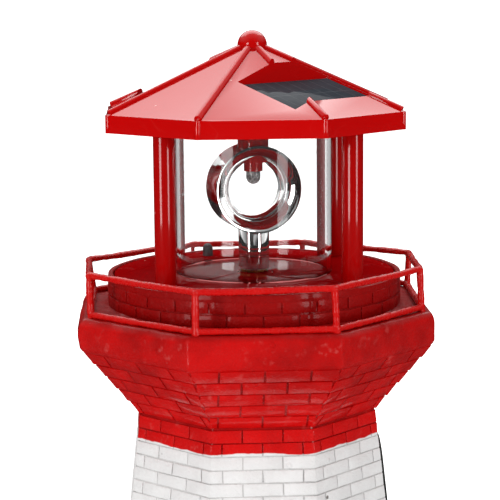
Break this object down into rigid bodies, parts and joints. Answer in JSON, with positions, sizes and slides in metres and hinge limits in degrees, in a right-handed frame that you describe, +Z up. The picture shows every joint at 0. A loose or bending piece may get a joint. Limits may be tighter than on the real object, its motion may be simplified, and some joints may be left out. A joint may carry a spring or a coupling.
{
  "type": "garden lighthouse ornament",
  "caption": "Solar garden lighthouse: cast brick tower, railed gallery, lift-out lantern with clear tube, turning chrome reflector round a fixed light, and solar roof.",
  "frame": {"origin": "centre of the base on the ground", "axes": "+Z up the tower, -Y out of the front"},
  "size_m": [0.1368, 0.1368, 0.36],
  "materials": {
    "cast_resin": "hand-painted white and red cast resin",
    "rail_paint": "thick glossy paint",
    "red_abs": "glossy moulded",
    "black_abs": "moulded",
    "steel": "zinc plated",
    "cell_wrap": "plain shrink sleeve",
    "contact_nickel": "nickel plated",
    "motor_case": "plain",
    "board": "solder mask",
    "black_rubber": "satin",
    "clear_tube": "clear",
    "solar_cell": "dark gloss under clear resin",
    "led_red": "moulded",
    "led_clear": "clear epoxy",
    "chrome_plate": "mirror plated plastic",
    "bush_brass": "turned"
  },
  "bodies": {
    "tower": {"tower_casting": "cast_resin", "rail_top": "rail_paint", "rail_bottom": "rail_paint", "rail_posts": "rail_paint", "base_plate": "black_abs", "base_screws": "steel"},
    "reflector": {"reflector_ring": "chrome_plate", "reflector_stem": "chrome_plate", "drive_shaft": "steel"},
    "switch_button": {"button_cap": "black_rubber"},
    "lantern": {"lantern_floor": "red_abs", "machinery_can": "black_abs", "can_screws": "steel", "battery": "cell_wrap", "battery_contact": "contact_nickel", "battery_spring": "contact_nickel", "battery_cover": "black_abs", "battery_cover_screws": "steel", "motor": "motor_case", "motor_screws": "steel", "control_board": "board", "switch_body": "black_abs", "glass_tube": "clear_tube", "pillars": "red_abs", "pillar_screws": "steel", "roof_shell": "red_abs", "roof_ceiling": "red_abs", "solar_panel_front": "solar_cell", "solar_panel_rear": "solar_cell", "roof_screws": "steel", "led_holder": "led_red", "led": "led_clear", "shaft_bush": "bush_brass"}
  },
  "joints": [
    {"name": "lantern_lift", "type": "slide", "parent": "tower", "child": "lantern", "axis": [0, 0, 1], "range_m": [0, 0.07]},
    {"name": "reflector_spin", "type": "hinge", "parent": "lantern", "child": "reflector", "pos_m": [0, 0, 0.28], "axis": [0, 0, 1], "continuous": true},
    {"name": "button_press", "type": "slide", "parent": "lantern", "child": "switch_button", "axis": [0, 0, -1], "range_m": [0, 0.0015], "stiffness_N_per_m": 300, "springref_m": -0.001}
  ]
}
